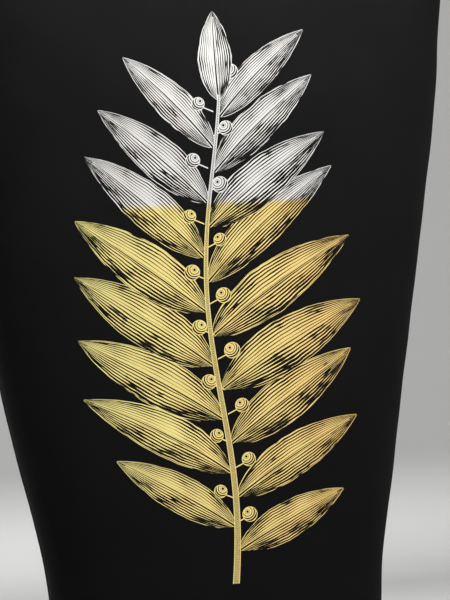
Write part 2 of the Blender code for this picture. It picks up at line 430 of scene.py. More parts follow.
def neck_shift(side, x):
    """How far the rounded neck line lies from the cut's own line, for places x of the top row."""
    smooth, path = neck_path()
    quarter = len(path) // 4
    near = slice(0, quarter + 1) if side == FRONT else slice(2 * quarter, quarter - 1, -1)
    shift = (smooth - path)[near]
    read = read_along(np.abs(x), path[near, 0], shift)
    read[:, 0] *= np.sign(x)
    return read * np.exp(-np.clip(np.abs(x) - NECK_HALF, 0, 1) / ROUNDING_ASIDE)[:, None]


# Folds, hems and seams as relief along the normals


def worn_relief(points, side, turn):
    """Soft hollows and folds of worn cloth: bells, ripples in bells and slow drift, in metres.

    Both panels have folds that fan out from the armpits, waves round the hem and ripples at the
    waist. The front has one slanted valley, two swells at the chest and arcs below the collar. The
    back has ripples at its small, two swells at the shoulder blades and a valley down the spine.
    """
    x, y, z = points[..., 0], points[..., 1], points[..., 2]
    fade = 1 - np.abs(turn) ** 6
    relief = 0.0009 * drift(points, 0.16, 11) + 0.0003 * drift(points, 0.05, 12)
    inward, above = ARMPIT_FOLDS_X - np.abs(x), z - ARMPIT_FOLDS_Z
    fan = np.cos(7 * np.arctan2(-above, inward) + 0.6 * np.sign(x))
    relief += 0.0017 * np.exp(-np.hypot(inward, above) / 0.042) * fan
    ring = np.arctan2(x, -side * 1.2 * np.abs(y))
    low = smooth_step(-z, 0.628, 0.705)
    relief += 0.0026 * low * (np.cos(5 * ring + 0.7) + 0.5 * np.cos(8 * ring + 2.1))
    waist = bump(z, -0.655, 0.022)
    relief += 0.0006 * fade * waist * np.sin(2 * np.pi * z / 0.034 + 1.3 * x / 0.05)
    if side == FRONT:
        start, end = np.array([-0.029, -0.200]), np.array([-0.110, -0.452])
        valley = np.linalg.norm(end - start)
        way = (end - start) / valley
        run = (x - start[0]) * way[0] + (z - start[1]) * way[1]
        off = (x - start[0]) * way[1] - (z - start[1]) * way[0]
        reach = smooth_step(run, -0.08, 0.02) * (1 - smooth_step(run, valley - 0.10, valley + 0.05))
        relief -= 0.0045 * fade * reach * bump(off, 0, 0.040)
        left = bump(x, -0.120, 0.060) * bump(z, -0.210, 0.060)
        right = bump(x, 0.060, 0.100) * bump(z, -0.240, 0.080)
        relief += 0.003 * fade * (left + right)
        sag = np.hypot(x, z + 0.03)
        relief += 0.0008 * bump(z, -0.135, 0.03) * fade * np.cos(2 * np.pi * sag / 0.03)
    else:
        arc = z - 3.0 * x**2
        lumbar = bump(arc, -0.500, 0.060) * bump(x, 0, 0.090)
        relief += 0.0022 * lumbar * np.sin(2 * np.pi * arc / 0.046)
        blades = bump(np.abs(x), 0.085, 0.04) * bump(z, -0.17, 0.06)
        relief += 0.0030 * blades * fade
        spine = bump(x, 0, 0.018) * bump(z, -0.33, 0.13)
        relief -= 0.0035 * spine
    return relief


def groove(distance, depth=0.0006, width=0.0011):
    """A seam's valley: -depth exp(-(distance / width)^2)."""
    return -depth * bump(distance, 0, width)


def puckers(distance, run, reach=0.006, height=0.00022, pitch=0.0087):
    """Tiny pulls beside a seam: a sine along it whose phase wanders, fading with distance."""
    wave = np.sin(2 * np.pi * run / pitch + 2.2 * np.sin(run / 0.021) + 1.3 * np.sin(run / 0.0077))
    return height * np.exp(-np.abs(distance) / reach) * wave


def needle_rows(sizes):
    """Distances of the two rows of stitches from the edge of a hem."""
    outer = sizes.hem - STITCH_INSET
    return outer, outer - sizes.needle_gap


def hem_relief(from_edge, run, sizes):
    """A folded hem: a low step up to its stitches, a groove at each needle row and puckers."""
    hem = sizes.hem
    relief = 0.0005 * (1 - smooth_step(from_edge, hem - 0.0012, hem + 0.0008))
    relief = relief - 0.0005 * bump(from_edge, 0, 0.0012)
    for row in needle_rows(sizes):
        relief = relief + groove(from_edge - row, 0.00040, 0.0007)
    return relief + puckers(from_edge - hem + 0.0045, run, 0.008, 0.00030, 0.0093)


def shaped_panel(side, sizes):
    """A panel with its folds, seams and hem: the surface moved along its normals by the relief."""
    points, cloth = panel_surface(side)
    normals = grid_normals(points) * (1 if side == FRONT else -1)
    turn = np.broadcast_to(panel_turns(), points.shape[:-1])
    top_run = run_length(points[::-1], axis=0)[::-1]
    relief = worn_relief(points, side, turn) * smooth_step(top_run, 0.0, FOLDS_END)
    to_side = cloth[:, -1:, 0] - np.abs(cloth[..., 0])
    rim = points[-1]
    seam_run = run_length(rim[:, None], axis=0)[:, 0]
    for distance, run, height in ((to_side, cloth[..., 1], 0.00018), (top_run, seam_run[None], 0.00015)):
        relief = relief + groove(distance) + puckers(distance, run, 0.005, height)
    relief += hem_relief(points[..., 2] + HEM_DROP, cloth[..., 0] + 0.4 * side, sizes)
    shift = neck_shift(side, rim[:, 0])[None] * np.exp(-((top_run / ROUNDING_DOWN) ** 2))[..., None]
    return points + normals * relief[..., None] + shift, normals, cloth


def sewn_body(sizes):
    """Both panels. Where they are sewn together they share one line, midway between their own."""
    body = [shaped_panel(side, sizes) for side in (FRONT, BACK)]
    front, back = body[0][0], body[1][0]
    shoulder = np.abs(panel_turns()) >= 0.5
    for rows, columns in ((slice(0, BODY_ROWS_BELOW + 1), [0, -1]), (-1, shoulder)):
        shared = (front[rows][..., columns, :] + back[rows][..., columns, :]) / 2
        for points in (front, back):
            points[rows, columns] = shared
    return body


def shaped_sleeve(side, sizes, body):
    """A sleeve with soft folds at its underside, puckers along the armhole and a folded cuff."""
    points = sleeve_surface(side, body)
    normals = -grid_normals(points, closed=True) * side
    run = run_length(points, axis=0)
    angle = np.linspace(0, 2 * np.pi, SLEEVE_COLUMNS + 1)[None, :]
    part = np.linspace(0, 1, SLEEVE_ROWS + 1)[:, None]
    under = (1 + np.cos(angle)) / 2
    relief = 0.0007 * drift(points * np.array([side, 1, 1]), 0.07, 21 + side)
    ripple = np.sin(2 * np.pi * run / 0.031 + 1.2 * np.sin(angle))
    relief += 0.0020 * under**2 * ripple * bump(part, 0.42, 0.27)
    relief += 0.0016 * smooth_step(part, 0.6, 1.0) * np.cos(4 * angle + 0.9 + side)
    relief += 0.0014 * (1 - under) ** 2 * bump(part, 0.16, 0.12) * np.cos(9 * angle)
    relief *= smooth_step(run, 0.0, 0.012)
    around = np.broadcast_to(run_length(points[-1:], axis=1), run.shape)
    relief += puckers(run, around, 0.005, 0.00018) * smooth_step(run, 0.0, 0.002)
    relief += hem_relief(run[-1:] - run, around, sizes)
    cloth = np.stack([around - around[:, -1:] / 2, -run], axis=-1)
    return points + normals * relief[..., None], normals, cloth


# Meshes from grids


def grid_quads(rows, columns, wrap, flip):
    """Corner numbers of each cell of a grid whose rows hold so many columns, and wrap if asked."""
    across = np.arange(columns if wrap else columns - 1)
    row, column = np.meshgrid(np.arange(rows - 1), across, indexing="ij")
    low, high, after = row * columns, (row + 1) * columns, (column + 1) % columns
    quads = np.stack([low + column, low + after, high + after, high + column], axis=-1).reshape(-1, 4)
    return quads[:, ::-1] if flip else quads


def grid_mesh(name, points, cloth, closed=False, flip=False):
    """A grid as a smooth mesh, with the UV map "cloth" in metres on the cloth.

    A closed grid's last column repeats the first, and only its UVs are kept.
    """
    rows, columns = points.shape[:2]
    corners = faces = grid_quads(rows, columns, False, flip)
    if closed:
        points, faces = points[:, :-1], grid_quads(rows, columns - 1, True, flip)
    mesh = bpy.data.meshes.new(name)
    mesh.from_pydata(points.reshape(-1, 3).tolist(), [], faces.tolist())
    places = cloth.reshape(-1, 2)[corners.reshape(-1)].astype(np.float32)
    mesh.uv_layers.new(name="cloth").data.foreach_set("uv", places.ravel())
    mesh.shade_smooth()
    mesh.update()
    return mesh


def place_object(name, data):
    thing = bpy.data.objects.new(name, data)
    bpy.context.scene.collection.objects.link(thing)
    return thing


def add_piece(name, mesh, materials, replaced=None):
    """Puts a mesh in the scene as a piece of the shirt, riding on its one body."""
    piece = place_object(name, mesh)
    for material in materials:
        mesh.materials.append(material)
    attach(piece, "root")
    if replaced:
        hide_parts(replaced)
    return piece


def give_thickness(piece, thickness):
    """The cloth's inner face is drawn inwards, and takes the piece's second material."""
    shell = piece.modifiers.new("cloth", "SOLIDIFY")
    shell.thickness = thickness
    shell.offset = -1
    shell.use_rim = True
    shell.material_offset = 1
    shell.material_offset_rim = 0


def stitch_mesh(name, rows, sizes):
    """Short rounded stitches along paths: each is a capsule of 5 rings, bent down at its ends."""
    around = np.linspace(0, 2 * np.pi, STITCH_SIDES + 1)[:-1]
    along = np.array([-0.5, -0.36, 0.0, 0.36, 0.5])[:, None]
    swell = np.array([0.30, 0.85, 1.0, 0.85, 0.30])[:, None]
    sink = np.array([-0.9, -0.25, 0.0, -0.25, -0.9])[:, None]
    half = sizes.thread / 2
    above = swell * half * 0.8 * np.sin(around) + sink * half + half * 0.35
    ring = spread(along * (0.80 * sizes.stitch), swell * half * np.cos(around), above).reshape(-1, 3)
    count = len(ring)
    quads = grid_quads(len(along), STITCH_SIDES, True, False)
    caps = np.arange(STITCH_SIDES)[::-1], np.arange(count - STITCH_SIDES, count)
    all_points, faces, start = [], [], 0
    for path, normals in rows:
        (centre, normal), _ = resample(path, sizes.stitch, normals)
        forward = unit(np.gradient(centre, axis=0))
        normal = unit(normal - forward * np.sum(normal * forward, -1, keepdims=True))
        frames = np.stack([forward, np.cross(forward, normal), normal], axis=1)
        points = centre[:, None] + np.einsum("vk,nkc->nvc", ring, frames)
        offsets = start + np.arange(len(centre)) * count
        faces += (quads[None] + offsets[:, None, None]).reshape(-1, 4).tolist()
        for cap in caps:
            faces += (cap[None] + offsets[:, None]).tolist()
        all_points.append(points.reshape(-1, 3))
        start += len(centre) * count
    mesh = bpy.data.meshes.new(name)
    mesh.from_pydata(np.concatenate(all_points).tolist(), [], faces)
    mesh.shade_smooth()
    return mesh


# Shader groups


def feed(tree, place, value):
    """Links a wire to a socket, or sets the socket to a number or a colour."""
    if isinstance(value, Wire):
        tree.links.new(value.socket, place)
    else:
        place.default_value = value


def set_inputs(tree, node, **values):
    """Feeds the inputs of a node by their names, with _ for a space."""
    for title, value in values.items():
        feed(tree, node.inputs[title.replace("_", " ")], value)


def math_step(operation):
    """A method of Wire that adds one Math node with two inputs."""
    return lambda self, other: self.math(operation, other)


class Wire:
    """A number in a node tree that can be reckoned with: each step adds one Math node."""

    def __init__(self, tree, socket):
        self.tree = tree
        self.socket = socket

    def math(self, operation, *others, clamp=False):
        node = self.tree.nodes.new("ShaderNodeMath")
        node.operation = operation
        node.use_clamp = clamp
        for place, value in zip(node.inputs, (self, *others)):
            feed(self.tree, place, value)
        return Wire(self.tree, node.outputs[0])

    __add__ = __radd__ = math_step("ADD")
    __sub__ = math_step("SUBTRACT")
    __mul__ = __rmul__ = math_step("MULTIPLY")
    __truediv__ = math_step("DIVIDE")
    __pow__ = math_step("POWER")
    __gt__ = math_step("GREATER_THAN")
    __lt__ = math_step("LESS_THAN")

    def __rsub__(self, other):
        return (self * -1.0) + other

    def size(self):
        return self.math("ABSOLUTE")

    def clamp(self):
        return self.math("ADD", 0.0, clamp=True)

    def soft(self, low, high):
        """0 below low and 1 above high."""
        node = self.tree.nodes.new("ShaderNodeMapRange")
        node.interpolation_type = "SMOOTHSTEP"
        set_inputs(self.tree, node, Value=self, From_Min=low, From_Max=high)
        return Wire(self.tree, node.outputs["Result"])


def new_group(name, inputs, outputs):
    """An empty shader group, its inputs as wires by name, and its output node.

    An input of four numbers is a colour, and so is the output called Colour.
    """
    tree = bpy.data.node_groups.new(name, "ShaderNodeTree")
    for title, value in inputs.items():
        kind = "NodeSocketColor" if isinstance(value, tuple) else "NodeSocketFloat"
        tree.interface.new_socket(title, in_out="INPUT", socket_type=kind).default_value = value
    for title in outputs:
        kind = "NodeSocketColor" if title == "Colour" else "NodeSocketFloat"
        tree.interface.new_socket(title, in_out="OUTPUT", socket_type=kind)
    source = tree.nodes.new("NodeGroupInput")
    end = tree.nodes.new("NodeGroupOutput")
    return tree, {title: Wire(tree, source.outputs[title]) for title in inputs}, end


def place_group(tree, group, **values):
    """A group node with its inputs set to numbers, colours or wires."""
    node = tree.nodes.new("ShaderNodeGroup")
    node.node_tree = group
    set_inputs(tree, node, **values)
    return {socket.name: Wire(tree, socket) for socket in node.outputs}


def constant(tree, value):
    node = tree.nodes.new("ShaderNodeValue")
    node.outputs[0].default_value = value
    return Wire(tree, node.outputs[0])


def join_vector(tree, x, y, z=0.0):
    node = tree.nodes.new("ShaderNodeCombineXYZ")
    set_inputs(tree, node, X=x, Y=y, Z=z)
    return Wire(tree, node.outputs[0])


def noise(tree, vector, scale, detail=2.0):
    node = tree.nodes.new("ShaderNodeTexNoise")
    set_inputs(tree, node, Vector=vector, Scale=scale, Detail=detail)
    return Wire(tree, node.outputs["Fac"])


def random_number(tree, x, y):
    node = tree.nodes.new("ShaderNodeTexWhiteNoise")
    node.noise_dimensions = "3D"
    set_inputs(tree, node, Vector=join_vector(tree, x, y, 0.37))
    return Wire(tree, node.outputs["Value"])


def mix_colours(tree, factor, first, second):
    node = tree.nodes.new("ShaderNodeMix")
    node.data_type = "RGBA"
    places = [s for s in node.inputs if s.type == "RGBA"]
    for place, value in zip([node.inputs["Factor"], *places], (factor, first, second)):
        feed(tree, place, value)
    return Wire(tree, [s for s in node.outputs if s.type == "RGBA"][0])


def knit_group():
    """Jersey seen close: V-shaped loops in wales and courses, uneven yarn, fuzz and soft patches.

    Wales run up the cloth. In each wale the two legs of a loop slant against each other, so that
    the height is a cosine across the leg of (course + slant * distance from the wale's middle).
    """
    tree, wires, end = new_group(
        "knit",
        {"Across": 0.0, "Along": 0.0, "Colour": (0.013, 0.013, 0.013, 1), **JERSEY_KNIT},
        ("Colour", "Height", "Roughness"),
    )
    across = wires["Across"] * 1000.0
    along = wires["Along"] * 1000.0
    where = join_vector(tree, across, along)
    slow = noise(tree, where, 0.020, 3.0)
    yarn = noise(tree, join_vector(tree, across * 0.25, along), 0.9, 3.0)
    fuzz = noise(tree, where, 2.6, 4.0)
    wale = (across / wires["Wale"] + (slow - 0.5) * 0.6).math("FRACT") - 0.5
    course = along / wires["Course"] + wale.size() * 1.5 + (yarn - 0.5) * 0.35
    loop = (course * (2 * math.pi)).math("COSINE") * 0.5 + 0.5
    leg = 1.0 - (wale.size() * 4.0 - 1.0) ** 2.0
    height = loop * 0.55 + leg * 0.45
    # Painted shade darkens the valleys between the loops; yarn, fuzz and soft patches add random tone.
    loop_shade_and_tone = (height - 0.5) * 0.20 + (fuzz - 0.5) * 0.55 + (yarn - 0.5) * 0.35 + (slow - 0.5) * 0.25
    level = 1.0 + loop_shade_and_tone * wires["Contrast"] * 2.0
    scale = tree.nodes.new("ShaderNodeVectorMath")
    scale.operation = "SCALE"
    set_inputs(tree, scale, Vector=wires["Colour"], Scale=level)
    uneven = height * 0.35 + fuzz * 0.65
    rough = 0.93 + (fuzz - 0.5) * 0.10
    set_inputs(tree, end, Colour=Wire(tree, scale.outputs[0]), Height=uneven, Roughness=rough)
    return tree


def leaf_group():
    """One engraved leaf. Its base is at the origin of (Out, Up), in millimetres, and it leans out.

    a runs from 0 at the base to 1 at the tip, b is the distance from the curved midrib, and the
    half width is 3 w a^0.72 (1 - a)^0.92. Strokes are lines of equal b / half width, whose breadth
    follows the tone and which break into dashes where it is faint. The outline breaks too, and the
    two lines beside the midrib are drawn in full.
    """
    tree, wires, end = new_group(
        "engraved leaf",
        {
            "Out": 0.0, "Up": 0.0, "Lean": 0.9, "Length": 100.0,
            "Half width": 15.0, "Droop": 0.10, "Seed": 0.0, "Light": 1.0,
        },
        ("Ink", "Body"),
    )
    sine, cosine = wires["Lean"].math("SINE"), wires["Lean"].math("COSINE")
    out, up, length, seed = wires["Out"], wires["Up"], wires["Length"], wires["Seed"]
    a = (out * sine + up * cosine) / length
    a_in = a.math("MAXIMUM", 0.0).math("MINIMUM", 1.0)
    b = up * sine - out * cosine + wires["Droop"] * length * a_in * a_in
    ragged = noise(tree, join_vector(tree, a * 9.0, seed * 3.1, 0.5), 1.0, 1.0)
    wide = wires["Half width"] * 3.0 * (a_in**0.72) * ((1.0 - a_in) ** 0.92) * (0.93 + ragged * 0.14)
    inside = (a > 0.0) * (a < 1.0) * (b.size() < wide)
    s = b / (wide + 0.01)
    wobble = noise(tree, join_vector(tree, a * 5.0, s * 1.2, seed), 1.0, 2.0)
    lines = s * 7.5 + (wobble - 0.5) * 0.9 + seed
    stroke = (lines.math("FRACT") - 0.5).size() * 2.0
    line_number = lines.math("FLOOR")
    above = s > 0.0
    upper = 1.16 - s.size() * 0.60
    lower = 0.80 - s.size() * 0.36
    tone = above * upper + (1.0 - above) * lower
    bow = ((a_in * math.pi).math("SINE")) * 0.42 + 0.66
    veins = ((a_in * 22.0 - s.size() * 3.4 + seed * 2.0).math("SINE")) * 0.09
    blotch = noise(tree, join_vector(tree, a * 3.2, s * 1.1, seed * 1.7), 1.0, 2.0)
    tone = (tone * bow + veins + (blotch - 0.5) * 0.55) * wires["Light"]
    dashes = noise(tree, join_vector(tree, a * length * 0.10, line_number * 7.3, seed), 1.0, 1.0)
    held = (dashes - (0.55 - tone * 0.60)).soft(0.0, 0.32)
    drawn = (tone * held * 0.80 - stroke - 0.03).soft(-0.05, 0.05)
    edge = wide - b.size()
    outline = 1.0 - edge.soft(0.30, 0.52)
    outline = outline * (ragged + tone * 0.35).soft(0.50, 0.62)
    rib_half = (1.0 - a_in) * 0.42 + 0.12
    near = b.size()
    gap = 1.0 - (near - rib_half).soft(0.0, 0.12)
    beside = (1.0 - (near - rib_half - 0.45).soft(0.0, 0.15)) * (a_in < 0.93)
    ink = drawn.math("MAXIMUM", outline).math("MAXIMUM", beside) * (1.0 - gap)
    set_inputs(tree, end, Ink=ink * inside, Body=inside)
    return tree


def berry_group():
    """One engraved berry about the origin of (Out, Up): an outline and arcs round a lit point."""
    inputs = {"Out": 0.0, "Up": 0.0, "Radius": 5.5}
    tree, wires, end = new_group("engraved berry", inputs, ("Ink", "Body"))
    out, up, radius = wires["Out"], wires["Up"], wires["Radius"]
    away = (out * out + up * up).math("SQRT")
    body = away < radius
    lit_out, lit_up = out + 1.6, up - 1.8
    lit = (lit_out * lit_out + lit_up * lit_up).math("SQRT")
    arcs = ((lit / 1.55).math("FRACT") - 0.5).size() * 2.0
    tone = 1.05 - lit / radius * 0.62
    drawn = (tone - arcs).soft(-0.08, 0.08)
    outline = 1.0 - (radius - away).soft(0.40, 0.60)
    eye = (lit - 0.75).soft(0.0, 0.2)
    ink = drawn.math("MAXIMUM", outline) * eye * body
    set_inputs(tree, end, Ink=ink, Body=body)
    return tree


def print_group(size):
    """The printed sprig: a bent stem with leaves in rows, alternating left and right, and berries.

    Rows repeat at one pitch up the stem. A point can lie in a leaf that starts in its own row or
    in one of the two rows below, so each side draws three leaves and lays them over each other.
    """
    tree, wires, end = new_group(
        "sprig print",
        {
            "Across": 0.0, "Along": 0.0,
            "Left ink": (1, 1, 0, 1), "Right ink": (1, 0.5, 0, 1), "Top ink": (1, 1, 1, 1),
        },
        ("Colour", "Mask"),
    )
    leaf, berry = leaf_group(), berry_group()
    x = wires["Across"] * 1000.0 - size.centre
    y = wires["Along"] * 1000.0 - size.foot

    def stem_at(height):
        return (height * (2 * math.pi / 310.0) + 0.6).math("SINE") * 7.0

    ink = constant(tree, 0.0)
    for side, lift in ((1.0, 0.0), (-1.0, 16.5)):
        row = ((y - FIRST_LEAF - lift) / size.pitch).math("FLOOR")
        for back in (2.0, 1.0, 0.0):
            number = row - back
            base = number * size.pitch + FIRST_LEAF + lift
            share = (base / STEM_TOP).clamp()
            there = (number > -0.5) * (number < size.pairs - 0.5 - (1.0 if side < 0 else 0.0))
            chance = random_number(tree, number, 11.0 * side)
            chance_two = random_number(tree, number + 31.0, 5.0 * side)
            swell = ((share**0.85) * math.pi).math("SINE") * 0.36 + 0.64
            result = place_group(
                tree,
                leaf,
                Out=(x - stem_at(base)) * side - 1.0,
                Up=y - base,
                Lean=1.03 - share * 0.36 + (chance - 0.5) * 0.16,
                Length=swell * size.leaf * (0.94 + chance_two * 0.12),
                Half_width=swell * size.half_leaf * (0.92 + chance * 0.14),
                Droop=0.03 + chance_two * 0.13,
                Seed=number * 1.37 + 3.0 * side + 20.0,
                Light=0.98 if side < 0 else 0.88,
            )
            body = result["Body"] * there
            ink = ink * (1.0 - body) + result["Ink"] * there
            if back == 0.0:
                bulb_out = (x - stem_at(base)) * side - 10.5 + chance * 1.0
                bulb_up = y - base - 23.5 - share * 6.0 - chance_two * 1.0
                bulb = place_group(tree, berry, Out=bulb_out, Up=bulb_up, Radius=4.3 + chance * 1.2)
                ink = ink * (1.0 - bulb["Body"] * there) + bulb["Ink"] * there
                reach = (bulb_out + 10.0) / 6.5
                stalk = (bulb_up - reach * 3.0 + 5.5).size() < 0.42
                stalk = stalk * (reach > 0.0) * (reach < 1.0) * there
                ink = ink.math("MAXIMUM", stalk)
    crown_foot = constant(tree, STEM_TOP - 4.0)
    crown = place_group(
        tree, leaf, Out=x - stem_at(crown_foot), Up=y - crown_foot,
        Lean=-0.06, Length=60.0, Half_width=11.5, Droop=0.05, Seed=55.5, Light=1.0,
    )
    ink = ink * (1.0 - crown["Body"]) + crown["Ink"]
    off = (x - stem_at(y)).size()
    half = 2.3 - (y / STEM_TOP).clamp() * 1.3
    on_stem = (off < half) * (y > 0.0) * (y < STEM_TOP)
    rim = (off - half + 0.55).soft(-0.05, 0.08)
    bark = ((y * 0.62 + off * 1.4).math("FRACT") - 0.45).soft(-0.05, 0.08)
    ink = ink * (1.0 - on_stem) + rim.math("MAXIMUM", bark) * on_stem
    where = join_vector(tree, x, y)
    worn = noise(tree, where, 1.1, 3.0)
    patch = noise(tree, where, 0.045, 2.0)
    right = (x / 190.0 + 0.5 + (patch - 0.5) * 0.7).clamp()
    gold = mix_colours(tree, right, wires["Left ink"], wires["Right ink"])
    white = (y + (patch - 0.5) * 4.0).soft(size.white_from - 3.0, size.white_from + 3.0)
    colour = mix_colours(tree, white, gold, wires["Top ink"])
    set_inputs(tree, end, Colour=colour, Mask=(ink * (0.96 + (worn - 0.5) * 0.4)).clamp())
    return tree


def cloth_wires(tree):
    """The two directions of the UV map "cloth", in metres."""
    source = tree.nodes.new("ShaderNodeUVMap")
    source.uv_map = "cloth"
    parts = tree.nodes.new("ShaderNodeSeparateXYZ")
    tree.links.new(source.outputs[0], parts.inputs[0])
    return Wire(tree, parts.outputs["X"]), Wire(tree, parts.outputs["Y"])


def object_place(tree):
    return Wire(tree, tree.nodes.new("ShaderNodeTexCoord").outputs["Object"])


def tint(colour, factor):
    return (*(factor * c for c in colour), 1)


def new_material(name, specular):
    """A material with its tree and its Principled shader."""
    material = bpy.data.materials.new(name)
    material.use_nodes = True
    tree = material.node_tree
    shader = tree.nodes["Principled BSDF"]
    shader.inputs["Specular IOR Level"].default_value = specular
    return material, tree, shader


def add_bump(tree, shader, height, strength, distance):
    node = tree.nodes.new("ShaderNodeBump")
    set_inputs(tree, node, Height=height, Strength=strength, Distance=distance)
    set_inputs(tree, shader, Normal=Wire(tree, node.outputs[0]))


def knit_material(name, colour, stitches, printed=None, inks=None):
    """Knitted cloth with painted shade that darkens it downwards, with the print laid on it where there
    is one.
    """
    material, tree, shader = new_material(name, 0.05)
    across, along = cloth_wires(tree)
    # Painted shade: the colour falls towards the hem, where the light falls off lower on the shirt.
    down = (along * -1.0 - PAINTED_SHADE_FROM).soft(0.0, PAINTED_SHADE_OVER)
    painted_shade_colour = mix_colours(tree, down, tint(colour, 1), tint(colour, PAINTED_SHADE_AT_HEM))
    knit = bpy.data.node_groups.get("knit") or knit_group()
    cloth = place_group(tree, knit, Across=across, Along=along, Colour=painted_shade_colour, **stitches)
    base, rough = cloth["Colour"], cloth["Roughness"]
    if printed:
        art = place_group(tree, printed, Across=across, Along=along, **inks)
        base = mix_colours(tree, art["Mask"], base, art["Colour"])
        rough = rough - art["Mask"] * 0.26
    set_inputs(tree, shader, Base_Color=base, Roughness=rough)
    add_bump(tree, shader, cloth["Height"], 0.35, 0.0003)
    return material


def thread_material(colour):
    """Sewing thread, lighter and darker by fine noise in place of its twist."""
    material, tree, shader = new_material("thread", 0.35)
    twist = noise(tree, object_place(tree), 2600.0)
    base = mix_colours(tree, twist, tint(colour, 0.55), tint(colour, 1.5))
    set_inputs(tree, shader, Base_Color=base, Roughness=0.58 + twist * 0.2)
    add_bump(tree, shader, twist, 0.4, 0.0002)
    return material


def tape_material(colour):
    """Woven tape: a herringbone of slanted ridges that turn over at each rib along the tape. Its colour
    carries painted shade in the valleys and painted highlight on the ridges.
    """
    material, tree, shader = new_material("neck_tape_weave", 0.2)
    run, width = (wire * 1000.0 for wire in cloth_wires(tree))
    column = ((width / 2.7).math("FRACT") - 0.5).size() * 2.0
    ridge = ((run * 1.1 + column * 1.35).math("FRACT") - 0.5).size() * 2.0
    grain = noise(tree, join_vector(tree, run, width), 3.0, 3.0)
    height = ridge * 0.7 + grain * 0.3
    # Painted shade and highlight: the colour falls to half in the weave's valleys and rises on its
    # ridges.
    base = mix_colours(tree, height.clamp(), tint(colour, 0.5), tint(colour, 1.6))
    set_inputs(tree, shader, Base_Color=base, Roughness=0.80 + grain * 0.15)
    add_bump(tree, shader, height, 0.6, 0.0004)
    return material


def floor_material(colour):
    """Seamless studio paper with a faint grain."""
    material, tree, shader = new_material("studio_paper", 0.2)
    grain = noise(tree, object_place(tree), 3.0, 4.0)
    base = mix_colours(tree, grain, tint(colour, 0.985), tint(colour, 1))
    set_inputs(tree, shader, Base_Color=base, Roughness=0.86 + grain * 0.06)
    return material


def settings():
    scene = bpy.context.scene
    return scene.shirt_sizes, scene.shirt_colours, scene.shirt_print, scene.shirt_studio


def jersey_pair():
    """The outer and inner material of plain jersey, made once."""
    materials, colour = bpy.data.materials, settings()[1].jersey
    if "jersey_outside" not in materials:
        knit_material("jersey_outside", colour, JERSEY_KNIT)
        knit_material("jersey_inside", [INSIDE_LIGHTER * c for c in colour], INSIDE_KNIT)
    return materials["jersey_outside"], materials["jersey_inside"]


class OBJECT_OT_shirt_body(bpy.types.Operator):
    """Make the front and back panels with their folds, seams, hem and print"""

    bl_idname = "object.shirt_body"
    bl_label = "Body panels"

    def execute(self, context):
        sizes, colours, print_size, _ = settings()
        plain, inside = jersey_pair()
        inks = {
            "Left_ink": tint(colours.ink_left, 1),
            "Right_ink": tint(colours.ink_right, 1),
            "Top_ink": tint(colours.ink_top, 1),
        }
        sprig = print_group(print_size)
        printed = knit_material("jersey_printed", colours.jersey, JERSEY_KNIT, sprig, inks)
        for (points, _, cloth), name, material, flat, area in zip(
            sewn_body(sizes),
            ("front_panel_cloth", "back_panel_cloth"),
            (printed, plain),
            ((0.500, 0.760), (0.480, 0.790)),
            (0.270, 0.280),
        ):
            mesh = grid_mesh(name, points, cloth, flip=material == plain)
            piece = add_piece(name, mesh, (material, inside), name.replace("_cloth", ""))
            give_thickness(piece, sizes.cloth)
        return {"FINISHED"}


class OBJECT_OT_shirt_sleeves(bpy.types.Operator):
    """Make both short sleeves with their folds, seams and cuffs"""

    bl_idname = "object.shirt_sleeves"
    bl_label = "Sleeves"

    def execute(self, context):
        sizes = settings()[0]
        body = sewn_body(sizes)
        for name, side in (("left_sleeve", 1), ("right_sleeve", -1)):
            points, _, cloth = shaped_sleeve(side, sizes, body)
            mesh = grid_mesh(name + "_cloth", points, cloth, closed=True, flip=side > 0)
            piece = add_piece(name + "_cloth", mesh, jersey_pair(), name)
            give_thickness(piece, sizes.cloth)
        return {"FINISHED"}


def rib_frames(points):
    """The way up the collar, which leans in, and the way out of its face."""
    ahead = np.roll(points[:-1], -1, 0) - np.roll(points[:-1], 1, 0)
    ahead = unit(np.concatenate([ahead, ahead[:1]]))
    inward = np.array([0, NECK_CENTRE, 0]) - points
    inward[:, 2] = 0
    inward = unit(inward)
    rise = inward * math.sin(RIB_LEAN) + np.array([0, 0, math.cos(RIB_LEAN)])
    rise = unit(rise - ahead * np.sum(rise * ahead, -1, keepdims=True))
    out = unit(np.cross(ahead, rise))
    return rise, out * np.sign(-np.sum(out * inward, -1, keepdims=True))


